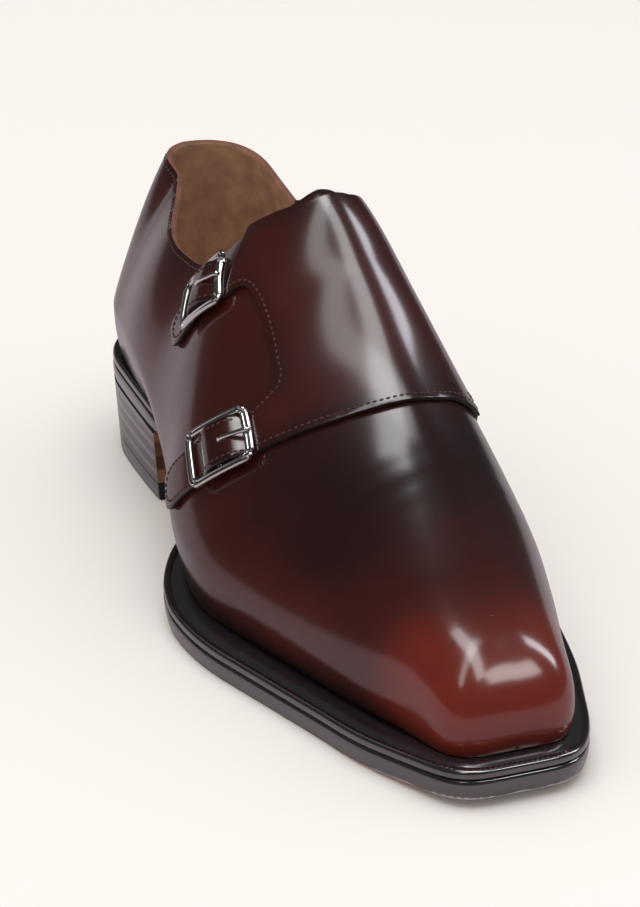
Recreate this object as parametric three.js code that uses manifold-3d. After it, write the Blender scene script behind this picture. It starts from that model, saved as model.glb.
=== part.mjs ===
/**
 * Double monk strap shoe for a right foot, in millimetres. +Z is up, the toe points along -Y and the
 * inner side of the foot is +X. The origin is the centre of the heel's flat resting face.
 *
 * "along" is the distance from the back of the heel towards the toe, and "height" is above the floor.
 */
import * as THREE from "three";
import Module from "manifold-3d";

const wasm = await Module();
wasm.setup();

// ---------------------------------------------------------------- driving dimensions

const HEEL_CENTRE = 34; // along, of the origin
const WALL = 2; // the upper's leather and lining together
const GAP = 0.3; // between pieces that touch on the real shoe
const FLAP_LEATHER = 1.6; // the strap flap that crosses the instep
const TONGUE_LEATHER = 1.7;
const WELT_THICKNESS = 2.8;
const OUTSOLE_THICKNESS = 6;
const INSOLE_THICKNESS = 3;
const TOP_PIECE_THICKNESS = 6;
const TOE_PLATE = 1.4; // thickness of the metal plate let into the toe

const LATERAL = -1;
const MEDIAL = 1;

const SECTIONS_IN_HEEL = 7;
const SECTIONS_IN_BODY = 22;
const SECTIONS_IN_TOE = 9;

// The last, a row for each section. Foot is the feather line, where the upper meets the sole, and wide
// is the widest line, both measured out from the middle. Lift is the widest line's height above the
// feather line. Ridge is the top line's place across, and crest is its height. Power says how square
// the section is on each side: 2 is an ellipse, and less is leaner.
const LAST = table(
  ["along", "lateralFoot", "medialFoot", "lateralWide", "medialWide", "lift", "ridge", "crest", "lateralPower",
    "medialPower"],
  [-6, 18, 30, 20, 33, 17, 12, 116, 1.15, 2.8],
  [30, 24, 30, 26.2, 33.5, 17, 12, 114, 1.2, 2.7],
  [60, 27.5, 31, 32, 34.5, 18, 9.5, 112, 1.42, 2.7],
  [90, 27, 27, 36, 36, 18, 9.5, 117, 1.3, 2.6],
  [120, 34, 19, 41.5, 38, 18, 11, 122, 1.5, 2.2],
  [145, 45, 27, 48.5, 41, 17, 14, 104, 1.5, 2.25],
  [170, 48.5, 42, 50, 45, 15, 15, 84, 1.5, 2.25],
  [195, 43, 43.5, 44.5, 45.5, 13, 14, 69.5, 1.55, 2.2],
  [220, 36.5, 40, 38, 42.5, 11, 11, 59.5, 1.7, 2.2],
  [245, 30, 33.5, 31.5, 35.5, 10, 7, 51, 2, 2.3],
  [270, 23, 25.5, 24, 27, 8.5, 3, 44, 2.6, 2.5],
  [296, 19, 19.5, 19.5, 20, 6, 1, 36, 2.6, 2.4],
);
const LAST_ENDS = { heelPivot: 30, back: 1, backPower: 2.3, toePivot: 272, front: 294.5, frontPower: 4.5 };

// The sole's plan, and the height of its lower face.
const SOLE = table(
  ["along", "lateral", "medial", "underside", "bevel"],
  [-6, 23, 31, 26, 0.6],
  [34, 27, 31, 26, 0.6],
  [66, 28.5, 32, 25, 0.8],
  [82, 27.5, 31, 21.8, 2.5],
  [98, 27.5, 25.5, 17, 4.5],
  [112, 30, 19.8, 12, 5],
  [125, 36, 18.2, 8, 5],
  [138, 47, 21.5, 5, 4],
  [150, 53.5, 29.5, 2.8, 2.5],
  [160, 56.3, 39, 1.2, 1],
  [168, 57.4, 45.5, 0.5, 0.8],
  [183, 57, 51.5, 0, 0.8],
  [196, 55, 52, 0, 0.8],
  [209, 51.5, 51, 0, 0.8],
  [222, 47.8, 48.3, 0, 0.8],
  [245, 41.5, 42.5, 0.2, 0.8],
  [265, 36.5, 35.5, 0.9, 0.8],
  [285, 28.6, 27.6, 2, 0.8],
  [305, 20.5, 16.5, 3.6, 0.8],
);
const SOLE_ENDS = { heelPivot: 34, back: 0, backPower: 2.3, toePivot: 283, front: 303, frontPower: 5 };

// ---------------------------------------------------------------- shaping functions

const constant = (value) => () => value;
const offset = (height, lift) => (along) => height(along) + lift;

/** Turns a table's named columns into smooth curves by the distance along the shoe, its first column. */
function table(names, ...rows) {
  return Object.fromEntries(names.slice(1).map((name, i) => [name, smoothCurve(rows, i + 1)]));
}

/** A smooth curve through one column of a table's rows, flat past its ends. */
function smoothCurve(rows, column) {
  const slope = rows.map((row, i) => {
    const before = rows[Math.max(i - 1, 0)];
    const after = rows[Math.min(i + 1, rows.length - 1)];
    return (after[column] - before[column]) / (after[0] - before[0]);
  });
  return (along) => {
    const found = rows.findIndex((row, i) => i > 0 && along <= row[0]);
    const i = (found < 0 ? rows.length - 1 : found) - 1;
    const span = rows[i + 1][0] - rows[i][0];
    const t = THREE.MathUtils.clamp((along - rows[i][0]) / span, 0, 1);
    const [t2, t3] = [t * t, t * t * t];
    return (
      (2 * t3 - 3 * t2 + 1) * rows[i][column] +
      (t3 - 2 * t2 + t) * span * slope[i] +
      (3 * t2 - 2 * t3) * rows[i + 1][column] +
      (t3 - t2) * span * slope[i + 1]
    );
  };
}

/**
 * Stations round a plan, from the middle of the back to the middle of the toe. Each has the station's
 * distance along the shoe and the share of the table's width that the plan has there.
 */
function stations(ends, inBody = SECTIONS_IN_BODY) {
  const list = [];
  for (let i = 0; i <= SECTIONS_IN_HEEL; i++) {
    const turn = (i / SECTIONS_IN_HEEL) * (Math.PI / 2);
    const reach = Math.cos(turn) ** (2 / ends.backPower);
    const along = ends.heelPivot - (ends.heelPivot - ends.back) * reach;
    list.push({ along, share: Math.sin(turn) ** (2 / ends.backPower), pivot: ends.heelPivot });
  }
  for (let i = 1; i < inBody; i++) {
    const along = ends.heelPivot + ((ends.toePivot - ends.heelPivot) * i) / inBody;
    list.push({ along, share: 1, pivot: along });
  }
  for (let i = 0; i <= SECTIONS_IN_TOE; i++) {
    const turn = (i / SECTIONS_IN_TOE) * (Math.PI / 2);
    const reach = Math.sin(turn) ** (2 / ends.frontPower);
    const along = ends.toePivot + (ends.front - ends.toePivot) * reach;
    list.push({ along, share: Math.cos(turn) ** (2 / ends.frontPower), pivot: ends.toePivot });
  }
  return list;
}

/** Gathers triangles, and shares the corners that meet. */
class Skin {
  constructor() {
    this.points = [];
    this.faces = [];
    this.known = new Map();
  }

  corner(x, along, z) {
    const key = [x, along, z].map((value) => Math.round(value * 1000)).join();
    if (!this.known.has(key)) {
      this.known.set(key, this.points.length);
      this.points.push(new THREE.Vector3(x, HEEL_CENTRE - along, z));
    }
    return this.known.get(key);
  }

  face(a, b, c) {
    if (a !== b && b !== c && c !== a) {
      this.faces.push(a, b, c);
    }
  }

  /** Joins two rows of corners with the same count. */
  bridge(near, far) {
    for (let i = 0; i + 1 < near.length; i++) {
      this.face(near[i], near[i + 1], far[i + 1]);
      this.face(near[i], far[i + 1], far[i]);
    }
  }

  /** Adds a corner straight below another one. */
  below(index, drop) {
    this.points.push(this.points[index].clone().setZ(this.points[index].z - drop));
    return this.points.length - 1;
  }

  geometry() {
    const geometry = new THREE.BufferGeometry().setFromPoints(this.points);
    geometry.setIndex(this.faces);
    geometry.computeVertexNormals();
    return geometry;
  }
}

function signedVolume(points, faces) {
  let total = 0;
  for (let i = 0; i < faces.length; i += 3) {
    const [a, b, c] = [points[faces[i]], points[faces[i + 1]], points[faces[i + 2]]];
    total += a.dot(new THREE.Vector3().crossVectors(b, c)) / 6;
  }
  return total;
}

/** A closed skin as a solid for joining and cutting. */
function solidOf(skin) {
  const faces = skin.faces.slice();
  if (signedVolume(skin.points, faces) < 0) {
    faces.reverse();
  }
  const vertProperties = new Float32Array(skin.points.flatMap((point) => point.toArray()));
  return new wasm.Manifold(new wasm.Mesh({ numProp: 3, vertProperties, triVerts: new Uint32Array(faces) }));
}

// ---------------------------------------------------------------- the last

const underside = (along) => Math.max(0, SOLE.underside(along));
const soleTop = (along) => underside(along) + OUTSOLE_THICKNESS;
const featherHeight = (along) => soleTop(along) + WELT_THICKNESS + 2 * GAP;

const STEPS_UNDER = 4;
const STEPS_OVER = 11;

/** One section of the last on one side, from the feather line up to just short of the ridge. */
function lastSection(station, side) {
  const foot = side === LATERAL ? LAST.lateralFoot : LAST.medialFoot;
  const wide = side === LATERAL ? LAST.lateralWide : LAST.medialWide;
  const { along, share, pivot } = station;
  const ledge = wide(along) - foot(along);
  const towardsEnd = THREE.MathUtils.clamp((along - pivot) / 8, -1, 1);
  const base = featherHeight(along);
  const level = base + LAST.lift(along);
  const keel = (LAST.medialWide(along) - LAST.lateralWide(along)) / 2;
  const section = [];
  for (let i = 0; i < STEPS_UNDER; i++) {
    const t = i / STEPS_UNDER;
    const tuck = ledge * (1 - t) ** 2;
    const across = keel + share * (side * (wide(along) - tuck) - keel);
    section.push([across, along - towardsEnd * tuck, base + (level - base) * t]);
  }
  const widest = keel + share * (side * wide(along) - keel);
  const middle = LAST.ridge(pivot);
  const leaner = side === LATERAL ? share : 0;
  const power = THREE.MathUtils.lerp(LAST.medialPower(along), LAST.lateralPower(along), leaner);
  for (let i = 0; i < STEPS_OVER; i++) {
    const turn = (i / STEPS_OVER) * (Math.PI / 2);
    const out = Math.cos(turn) ** (2 / power);
    const across = middle + (widest - middle) * out;
    const place = pivot + (along - pivot) * out;
    section.push([across, place, level + (LAST.crest(place) - level) * Math.sin(turn) ** (2 / power)]);
  }
  return section;
}

/** The last grown outwards by an amount for each distance along the shoe, with a skirt below. */
function lastForm(growth, skirt = 0) {
  const grow = typeof growth === "number" ? constant(growth) : growth;
  const skin = new Skin();
  const plan = stations(LAST_ENDS);
  const lateral = plan.map((station) => lastSection(station, LATERAL).map((point) => skin.corner(...point)));
  const medial = plan.map((station, i) => {
    const atEnd = i === 0 || i === plan.length - 1;
    return atEnd ? lateral[i] : lastSection(station, MEDIAL).map((point) => skin.corner(...point));
  });
  const ridge = plan.map(({ pivot }) => skin.corner(LAST.ridge(pivot), pivot, LAST.crest(pivot)));
  for (let i = 0; i + 1 < plan.length; i++) {
    skin.bridge([...lateral[i], ridge[i]], [...lateral[i + 1], ridge[i + 1]]);
    skin.bridge([...medial[i + 1], ridge[i + 1]], [...medial[i], ridge[i]]);
  }
  const outward = Math.sign(signedVolume(skin.points, skin.faces));
  const normals = skin.geometry().getAttribute("normal");
  const direction = new THREE.Vector3();
  skin.points.forEach((point, i) => {
    direction.fromBufferAttribute(normals, i);
    point.addScaledVector(direction, grow(HEEL_CENTRE - point.y) * outward);
  });
  const feet = [lateral, medial].map((side) => side.map((section) => section[0]));
  let edge = feet;
  if (skirt > 0) {
    const lower = new Map([...new Set(feet.flat())].map((index) => [index, skin.below(index, skirt)]));
    edge = feet.map((row) => row.map((index) => lower.get(index)));
    skin.bridge(feet[0], edge[0]);
    skin.bridge(edge[1], feet[1]);
  }
  skin.bridge(edge[0], edge[1]);
  return solidOf(skin);
}

// ---------------------------------------------------------------- plates that follow the sole's plan

/**
 * A plate in the shape of a plan, from layers listed upwards. Each layer says how far it lies inside
 * the plan and how high it is, both by the distance along the shoe.
 */
function plate(plan, ends, layers) {
  const skin = new Skin();
  const rings = layers.map(({ inset, height }) =>
    [LATERAL, MEDIAL].map((side) =>
      stations(ends).map(({ along, share, pivot }) => {
        const keel = (plan.medial(along) - plan.lateral(along)) / 2;
        const half = (side === LATERAL ? plan.lateral(along) : plan.medial(along)) - inset(along);
        const end = along < pivot ? ends.back : ends.front;
        const place = along - (along === pivot ? 0 : (inset(along) * (along - pivot)) / Math.abs(end - pivot));
        return skin.corner(keel + share * (side * half - keel), place, height(place));
      }),
    ),
  );
  skin.bridge(rings[0][1], rings[0][0]);
  for (let i = 0; i + 1 < rings.length; i++) {
    skin.bridge(rings[i][0], rings[i + 1][0]);
    skin.bridge(rings[i + 1][1], rings[i][1]);
  }
  skin.bridge(rings.at(-1)[0], rings.at(-1)[1]);
  return solidOf(skin);
}

/** A prism between two places across the shoe, from its side outline of [along, height] points. */
function sidePrism(outline, from, to) {
  const corners = outline.map(([along, height]) => new THREE.Vector2(HEEL_CENTRE - along, height));
  const shape = new THREE.Shape(corners);
  const geometry = new THREE.ExtrudeGeometry(shape, { depth: to - from, bevelEnabled: false });
  geometry.applyMatrix4(new THREE.Matrix4().set(0, 0, 1, from, 1, 0, 0, 0, 0, 1, 0, 0, 0, 0, 0, 1));
  return solidFromGeometry(geometry);
}

/** One side view's prism for each side of the shoe, joined at a place across it. */
function twoSides(lateral, medial, middle) {
  const lap = 0.05;
  return sidePrism(lateral, -90, middle + lap).add(sidePrism(medial, middle - lap, 90));
}

/** A prism standing between two heights, from its plan outline of [across, along] points. */
function planPrism(outline, from, to) {
  const corners = outline.map(([across, along]) => new THREE.Vector2(across, HEEL_CENTRE - along));
  const shape = new THREE.Shape(corners);
  const geometry = new THREE.ExtrudeGeometry(shape, { depth: to - from, bevelEnabled: false });
  return solidFromGeometry(geometry.translate(0, 0, from));
}

/** Any closed three.js geometry as a solid. */
function solidFromGeometry(geometry) {
  const skin = new Skin();
  const flat = geometry.index ? geometry.toNonIndexed() : geometry;
  const position = flat.getAttribute("position");
  const index = (i) => skin.corner(position.getX(i), HEEL_CENTRE - position.getY(i), position.getZ(i));
  for (let i = 0; i < position.count; i += 3) {
    skin.face(index(i), index(i + 1), index(i + 2));
  }
  return solidOf(skin);
}

/** A smooth line through [a, b] points. */
function smoothLine(points, divisions) {
  const curve = new THREE.CatmullRomCurve3(points.map(([a, b]) => new THREE.Vector3(a, b, 0)));
  return curve.getPoints(divisions).map((point) => [point.x, point.y]);
}

// ---------------------------------------------------------------- the wall the straps lie on

/** The point of the last's outer wall at a distance along and a height, on the lateral side. */
function wallPoint(along, height) {
  const level = featherHeight(along) + LAST.lift(along);
  const rise = THREE.MathUtils.clamp((height - level) / (LAST.crest(along) - level), 0, 0.98);
  const power = LAST.lateralPower(along);
  const out = (1 - rise ** power) ** (1 / power);
  const below = Math.max(level - height, 0) / LAST.lift(along);
  const tuck = (LAST.lateralWide(along) - LAST.lateralFoot(along)) * below ** 2;
  const across = LAST.ridge(along) + (-LAST.lateralWide(along) - LAST.ridge(along)) * out + tuck;
  return new THREE.Vector3(across, HEEL_CENTRE - along, height);
}

function wallNormal(along, height) {
  const step = 0.5;
  const forward = wallPoint(along + step, height).sub(wallPoint(along - step, height));
  const upward = wallPoint(along, height + step).sub(wallPoint(along, height - step));
  return forward.cross(upward).normalize();
}

/**
 * Maps a strap's own coordinates to the shoe. The first runs down the strap from its buckle's middle,
 * the second across it, and the third up from the wall.
 */
function strapFrame(line, middle) {
  const onWall = line.map(([along, height]) => wallPoint(along, height));
  const curve = new THREE.CatmullRomCurve3(onWall);
  const length = curve.getLength();
  const points = curve.getSpacedPoints(200);
  const centre = wallPoint(...middle);
  const distances = points.map((point) => point.distanceTo(centre));
  const nearest = distances.indexOf(Math.min(...distances));
  const start = (nearest / 200) * length;
  return (down, across, up) => {
    const u = THREE.MathUtils.clamp((start + down) / length, 0, 1);
    const spot = curve.getPointAt(u);
    const tangent = curve.getTangentAt(u);
    const normal = wallNormal(HEEL_CENTRE - spot.y, spot.z);
    const sideways = new THREE.Vector3().crossVectors(normal, tangent).normalize();
    spot.addScaledVector(sideways, across).addScaledVector(tangent, start + down - u * length);
    const along = HEEL_CENTRE - spot.y;
    return wallPoint(along, spot.z).addScaledVector(wallNormal(along, spot.z), up);
  };
}

/** A closed sheet between a lower and an upper grid of points. */
function sheetBetween(lower, upper) {
  const skin = new Skin();
  const corners = (grid) => grid.map((row) => row.map((p) => skin.corner(p.x, HEEL_CENTRE - p.y, p.z)));
  const [bottom, top] = [corners(lower), corners(upper)];
  const column = (grid, j) => grid.map((row) => row.at(j));
  for (let i = 0; i + 1 < top.length; i++) {
    skin.bridge(top[i], top[i + 1]);
    skin.bridge(bottom[i + 1], bottom[i]);
  }
  skin.bridge(bottom[0], top[0]);
  skin.bridge(top.at(-1), bottom.at(-1));
  skin.bridge(column(top, 0), column(bottom, 0));
  skin.bridge(column(bottom, -1), column(top, -1));
  return solidOf(skin);
}

/** A bar along a path of [down, across, up] in a strap's coordinates, closed or with flat ends. */
function bar(frame, path, width, thickness, closed) {
  const skin = new Skin();
  const cut = Math.min(width, thickness) * 0.28;
  const [w, t] = [width / 2, thickness / 2];
  const section = [
    [w, t - cut], [w - cut, t], [cut - w, t], [-w, t - cut],
    [-w, cut - t], [cut - w, -t], [w - cut, -t], [w, cut - t],
  ];
  const rings = path.map(([down, across, up], i) => {
    const before = closed ? path.at(i - 1) : path[Math.max(i - 1, 0)];
    const after = closed ? path[(i + 1) % path.length] : path[Math.min(i + 1, path.length - 1)];
    const run = new THREE.Vector2(after[0] - before[0], after[1] - before[1]).normalize();
    const ring = section.map(([side, rise]) => {
      const point = frame(down - run.y * side, across + run.x * side, up + rise);
      return skin.corner(point.x, HEEL_CENTRE - point.y, point.z);
    });
    return [...ring, ring[0]];
  });
  for (let i = 0; i + 1 < rings.length; i++) {
    skin.bridge(rings[i], rings[i + 1]);
  }
  if (closed) {
    skin.bridge(rings.at(-1), rings[0]);
  } else {
    for (let i = 1; i + 1 < section.length; i++) {
      skin.face(rings[0][0], rings[0][i + 1], rings[0][i]);
      skin.face(rings.at(-1)[0], rings.at(-1)[i], rings.at(-1)[i + 1]);
    }
  }
  return solidOf(skin);
}

// ---------------------------------------------------------------- the pieces

// The collar's side view, from the back to the top of the instep.
const COLLAR = [
  [-20, 100.5], [4, 100.5], [13, 99.7], [25, 97.2], [39, 93.2], [53, 89.6], [66, 87.7], [79, 87.3],
];
const COLLAR_SIDES = [
  [...COLLAR, [88, 88], [94, 90.6], [101, 96], [107, 101], [113, 106], [119.5, 111.5]],
  [...COLLAR, [85, 89.5], [92, 93], [103, 100.5], [112, 107], [119.5, 112.5]],
];
const FLAP_COLLAR_SIDES = [
  [...COLLAR, [88, 88], [94, 90.8], [101, 96.4], [107, 101.6], [113, 106.9], [119, 112.2], [125.5, 118.2]],
  [...COLLAR, [85, 89.5], [92, 93], [103, 100.5], [112, 107.5], [119, 113], [125.5, 118.2]],
];

// The tongue's top, which shows above the flap.
const TONGUE_COLLAR_SIDES = [
  [...COLLAR, [88, 88], [101, 96], [107, 102], [113, 108.5], [116.5, 113.5], [119.5, 120]],
  [...COLLAR, [88, 90], [103, 100.5], [110, 106], [115, 111], [119.5, 120]],
];

// The flap's lower edge across the instep, as seen from above, from the outer side to the inner one.
const THROAT = [
  [-80, 163], [-45, 165], [-36, 167.5], [-30, 170.4], [-20.5, 175.7], [-10, 180.2], [-2, 182.8], [6.5, 184.9],
  [15, 186.2], [22, 186], [28.5, 184], [34, 181.5], [38, 178.5], [41, 174.5], [43, 168], [50, 150], [80, 130],
];

// The inner side, where the flap is one with the quarter.
const FLAP_MEDIAL = [
  [50, 36], [60, 35.6], [66, 35.2], [74, 34.2], [82, 32.4], [86, 33.2], [91, 37], [98, 42], [106.6, 46],
  [120.5, 49.6], [134.4, 51], [143.8, 51.7], [156, 52.2], [163, 53.4], [170, 56.4], [176, 60.4], [210, 74],
  [210, 150], [50, 150],
];

// Each strap's line down the outer wall, and its buckle's middle, as [along, height].
const UPPER_STRAP = {
  line: [[128, 102.9], [119.2, 94.5], [111.3, 87], [104.9, 80.1], [100.3, 72.5], [97.9, 66]],
  middle: [111.3, 87],
};
const LOWER_STRAP = {
  line: [[173.4, 70], [166.2, 63], [159.2, 56], [152.4, 48.8], [145.9, 41.5], [140.4, 34]],
  middle: [159.2, 56],
};
const STRAP_HALF_WIDTH = 7.4;
const STRAP_LEATHER = 1.6;
const BUCKLE_HALF_LENGTH = 10.9;
const BUCKLE_HALF_WIDTH = 8.7;
const STRAP_START = -BUCKLE_HALF_LENGTH - 2;

/** The line across a strap where it leaves the flap, as side-view points, rear one first. */
function strapMouth({ line, middle }, rear) {
  const frame = strapFrame(line, middle);
  return [-rear, STRAP_HALF_WIDTH].map((across) => {
    const point = frame(STRAP_START - 3 * GAP, across, 1);
    return [HEEL_CENTRE - point.y, point.z];
  });
}

/** The flap's outer side, as seen from that side, from one strap to the other. */
function flapLateral() {
  const upper = strapMouth(UPPER_STRAP, STRAP_HALF_WIDTH + 9);
  const lower = strapMouth(LOWER_STRAP, STRAP_HALF_WIDTH);
  const between = [[126.5, 93.5], [130.7, 95.2], [138.8, 90.8], [147.3, 84.7], [155, 78.4], [159, 74.6]];
  return [...upper, ...between, ...lower, [178, 62], [190, 70], [210, 84], [210, 150], [100, 150]];
}

function outsole() {
  return plate(SOLE, SOLE_ENDS, [
    { inset: SOLE.bevel, height: underside },
    { inset: (along) => SOLE.bevel(along) * 0.4, height: offset(underside, 1.6) },
    { inset: constant(0), height: offset(underside, OUTSOLE_THICKNESS * 0.7) },
    { inset: constant(0.2), height: soleTop },
  ]).subtract(toePlateBlock(GAP));
}

function toePlateBlock(grow) {
  const block = plate(SOLE, SOLE_ENDS, [
    { inset: constant(0.8 - grow), height: offset(underside, -grow) },
    { inset: constant(0.5 - grow), height: offset(underside, TOE_PLATE + grow) },
  ]);
  const rearEdge = [[-60, 258], [-20, 272], [0, 275], [20, 272], [60, 258]];
  const line = smoothLine(rearEdge.map(([across, along]) => [across, along - grow]), 12);
  return block.intersect(planPrism([...line, [60, 320], [-60, 320]], -10, 40));
}

/** A ring on the sole's top face, following its edge. */
function edgeRing() {
  const width = (along) => 9 + 8 * THREE.MathUtils.smoothstep(along, 128, 160);
  const outer = plate(SOLE, SOLE_ENDS, [
    { inset: constant(0.2), height: offset(soleTop, GAP) },
    { inset: constant(0), height: offset(soleTop, GAP + WELT_THICKNESS * 0.4) },
    { inset: constant(0.5), height: offset(soleTop, GAP + WELT_THICKNESS) },
  ]);
  const inner = plate(SOLE, SOLE_ENDS, [
    { inset: width, height: offset(soleTop, -5) },
    { inset: width, height: offset(soleTop, 10) },
  ]);
  return outer.subtract(inner);
}

// The heel's front face, as seen from above, from the outer side to the inner one.
const BREAST = smoothLine([[-60, 72], [-29, 70], [0, 68], [31, 73], [60, 80]], 12);

/** Everything in front of the heel's front face. */
function beyondBreast(shift) {
  const breast = BREAST.map(([across, along]) => [across, along + shift]);
  return planPrism([...breast, [60, 320], [-60, 320]], -5, 60);
}

const welt = () => edgeRing().intersect(beyondBreast(GAP / 2));
const heelRand = () => edgeRing().subtract(beyondBreast(-GAP / 2));

/** A layer of the heel. Its sides lean inwards a little towards the floor. */
function heelLayer(bottom, top) {
  const lean = (height) => 0.3 + 1.8 * (1 - height(0) / SOLE.underside(0));
  return plate(SOLE, SOLE_ENDS, [
    { inset: constant(lean(bottom)), height: bottom },
    { inset: constant(lean(top)), height: top },
  ]).subtract(beyondBreast(0));
}

function insole() {
  const slab = plate(SOLE, SOLE_ENDS, [
    { inset: constant(0), height: offset(featherHeight, 0) },
    { inset: constant(0), height: offset(featherHeight, INSOLE_THICKNESS) },
  ]);
  return slab.intersect(lastForm(-WALL - 2 * GAP, 4));
}

/** Everything above the collar's two side views. */
function aboveCollar([lateral, medial]) {
  const profile = (line) => [...line, [line.at(-1)[0], 200], [-20, 200]];
  return twoSides(profile(lateral), profile(medial), LAST.ridge(110));
}

/** Moves a plan outline from the middle of the shoe to the instep's ridge. */
const overInstep = (outline) => outline.map(([across, along]) => [across + LAST.ridge(130), along]);

/** The slot over the instep that the flap covers. */
function instepSlot() {
  const outline = [[-15, 90], [-15, 150], [-12, 160], [0, 165], [12, 160], [15, 150], [15, 90]];
  return planPrism(overInstep(outline), 66, 200);
}

function upper() {
  return lastForm(0).subtract(lastForm(-WALL, 30)).subtract(aboveCollar(COLLAR_SIDES)).subtract(instepSlot());
}

/** Thins the flap's inner side towards the heel, where it lies flush with the quarter. */
const skive = (along) => GAP + 0.4 + (FLAP_LEATHER - 0.4) * THREE.MathUtils.smoothstep(along, 60, 96);

function flap() {
  const sides = twoSides(flapLateral(), FLAP_MEDIAL, LAST.ridge(150));
  const behindThroat = planPrism([...smoothLine(THROAT, 40), [80, 0], [-80, 0]], 0, 200);
  const leather = lastForm(skive).subtract(lastForm(GAP, 30));
  return leather.intersect(sides).intersect(behindThroat).subtract(aboveCollar(FLAP_COLLAR_SIDES));
}

function tongue() {
  const outer = -WALL - GAP;
  const outline = [[-26, 70], [-26, 150], [-20, 180], [0, 190], [20, 180], [24, 150], [24, 70]];
  const region = planPrism(smoothLine(overInstep(outline), 24), 40, 200);
  const behind = sidePrism([[104, 60], [104, 200], [200, 200], [200, 40], [130, 40]], -90, 90);
  const leather = lastForm(outer).subtract(lastForm(outer - TONGUE_LEATHER, 30));
  return leather.intersect(region).intersect(behind).subtract(aboveCollar(TONGUE_COLLAR_SIDES));
}

/** How far a strap's leather stands off the wall: it rises over the buckle's middle bar. */
const strapLift = (down) => {
  const rise = THREE.MathUtils.smoothstep(down, -11.5, -4) * (1 - THREE.MathUtils.smoothstep(down, 1, 10));
  return 2 * GAP + 3.4 * rise;
};

function strap({ line, middle }, reach) {
  const frame = strapFrame(line, middle);
  const rows = 20;
  const grid = (lift) =>
    Array.from({ length: rows + 1 }, (_, i) => {
      const down = STRAP_START + ((reach - STRAP_START) * i) / rows;
      const tip = THREE.MathUtils.clamp((down - (reach - 6)) / 6, 0, 1);
      const half = STRAP_HALF_WIDTH * (1 - 0.45 * tip ** 2.4);
      return [-1, -0.5, 0, 0.5, 1].map((share) => frame(down, share * half, strapLift(down) + lift));
    });
  return sheetBetween(grid(0), grid(STRAP_LEATHER));
}

function buckle({ line, middle }) {
  const frame = strapFrame(line, middle);
  const [length, width] = [BUCKLE_HALF_LENGTH, BUCKLE_HALF_WIDTH];
  const corner = 1.5;
  const height = 3.9;
  const loop = [];
  for (const [endways, sideways] of [[1, 1], [1, -1], [-1, -1], [-1, 1]]) {
    const turns = endways * sideways > 0 ? [0, 1, 2] : [2, 1, 0];
    for (const turn of turns) {
      const angle = (turn / 2) * (Math.PI / 2);
      const down = endways * (length - corner + corner * Math.sin(angle));
      const across = sideways * (width - corner + corner * Math.cos(angle));
      loop.push([down, across, height]);
    }
    if (endways * sideways < 0) {
      const edge = sideways * width;
      const reach = endways * length * 0.4;
      loop.push([reach, edge, height], [-reach, edge, height]);
    }
  }
  return bar(frame, loop, 2.2, 1.6, true);
}

// ---------------------------------------------------------------- the object

const calf = { color: 0x4a1614, roughness: 0.22, metalness: 0 };
const blackEdge = { color: 0x191416, roughness: 0.3, metalness: 0 };
const heelRubber = { color: 0x141314, roughness: 0.6, metalness: 0 };
const plainLeather = { color: 0xb58a60, roughness: 0.55, metalness: 0 };
const polishedMetal = { color: 0xd9d9dc, roughness: 0.16, metalness: 1 };

const shoe = new THREE.Group();

function addPiece(name, solid, look) {
  const mesh = solid.simplify(0.02).getMesh();
  const geometry = new THREE.BufferGeometry();
  geometry.setAttribute("position", new THREE.BufferAttribute(new Float32Array(mesh.vertProperties), 3));
  geometry.setIndex(new THREE.BufferAttribute(new Uint32Array(mesh.triVerts), 1));
  geometry.computeVertexNormals();
  const piece = new THREE.Mesh(geometry, new THREE.MeshStandardMaterial(look));
  piece.name = name;
  shoe.add(piece);
}

addPiece("outsole", outsole(), blackEdge);
addPiece("welt", welt(), blackEdge);
addPiece("heel_rand", heelRand(), blackEdge);
addPiece("heel_stack", heelLayer(constant(TOP_PIECE_THICKNESS + GAP), offset(underside, -GAP)), blackEdge);
addPiece("heel_top_piece", heelLayer(constant(0), constant(TOP_PIECE_THICKNESS)), heelRubber);
addPiece("toe_plate", toePlateBlock(0), polishedMetal);
addPiece("insole", insole(), plainLeather);
addPiece("upper", upper(), calf);
addPiece("tongue", tongue(), calf);
addPiece("strap_flap", flap(), calf);
addPiece("upper_strap", strap(UPPER_STRAP, 24), calf);
addPiece("lower_strap", strap(LOWER_STRAP, 31), calf);
addPiece("upper_buckle", buckle(UPPER_STRAP), polishedMetal);
addPiece("lower_buckle", buckle(LOWER_STRAP), polishedMetal);

export default shoe;
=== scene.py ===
"""Looks for a double monk strap shoe: panels of patinated calf on the shape of the last, stitched and
edged, with a wheeled welt, a bevelled waist, a stacked heel and polished buckles."""
import math

import bmesh
import bpy
from bpy.props import FloatProperty, FloatVectorProperty, PointerProperty
from mathutils import Matrix, Vector
from mathutils.bvhtree import BVHTree
from mathutils.kdtree import KDTree


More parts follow.
